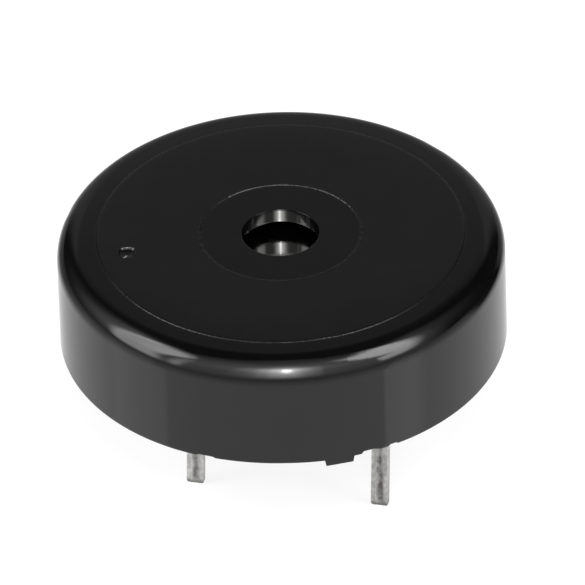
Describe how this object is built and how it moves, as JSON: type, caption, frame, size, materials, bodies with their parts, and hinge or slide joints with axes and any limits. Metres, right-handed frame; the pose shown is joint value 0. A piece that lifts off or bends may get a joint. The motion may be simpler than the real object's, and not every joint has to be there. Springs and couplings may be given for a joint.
{
  "type": "piezo buzzer",
  "caption": "Round board-mounted piezo buzzer: glossy black moulded case with a rounded shoulder and a central sound hole, on flat tinned pins.",
  "frame": {"origin": "on the carrying board's surface, under the standoffs, midway between the two pins and on the case's axis", "axes": "+Z out of the sound hole, away from the carrying board; +X along the line of the two pins"},
  "size_m": [0.0236, 0.0236, 0.0172],
  "materials": {
    "case": "gloss moulded, fine spark texture on the raised band",
    "inner_plastic": "satin moulded",
    "epoxy": "poured resin",
    "pins": "dull tin plating",
    "diaphragm": "bright rolled nickel alloy",
    "piezo": "fired ceramic",
    "silver": "printed silver",
    "silicone": "cured silicone",
    "board": "solder mask",
    "solder": "bright solder",
    "alumina": "fired ceramic",
    "capacitor": "fired ceramic",
    "insulation": "extruded insulation"
  },
  "bodies": {
    "root": {"case": "case", "base_plate": "inner_plastic", "base_sealant": "epoxy", "pin_left": "pins", "pin_right": "pins", "diaphragm_plate": "diaphragm", "piezo_ceramic": "piezo", "main_electrode": "silver", "feedback_electrode": "silver", "diaphragm_adhesive": "silicone", "circuit_board": "board", "transistor_body": "epoxy", "transistor_collector": "pins", "transistor_base": "pins", "transistor_emitter": "pins", "resistor_1_body": "alumina", "resistor_1_end_left": "solder", "resistor_1_end_right": "solder", "resistor_2_body": "alumina", "resistor_2_end_left": "solder", "resistor_2_end_right": "solder", "resistor_3_body": "alumina", "resistor_3_end_left": "solder", "resistor_3_end_right": "solder", "capacitor_body": "capacitor", "capacitor_end_left": "solder", "capacitor_end_right": "solder", "plate_pad_solder": "solder", "plate_joint_solder": "solder", "plate_wire": "insulation", "main_pad_solder": "solder", "main_joint_solder": "solder", "main_wire": "insulation", "feedback_pad_solder": "solder", "feedback_joint_solder": "solder", "feedback_wire": "insulation", "pin_solder_left": "solder", "pin_solder_right": "solder"}
  },
  "joints": []
}
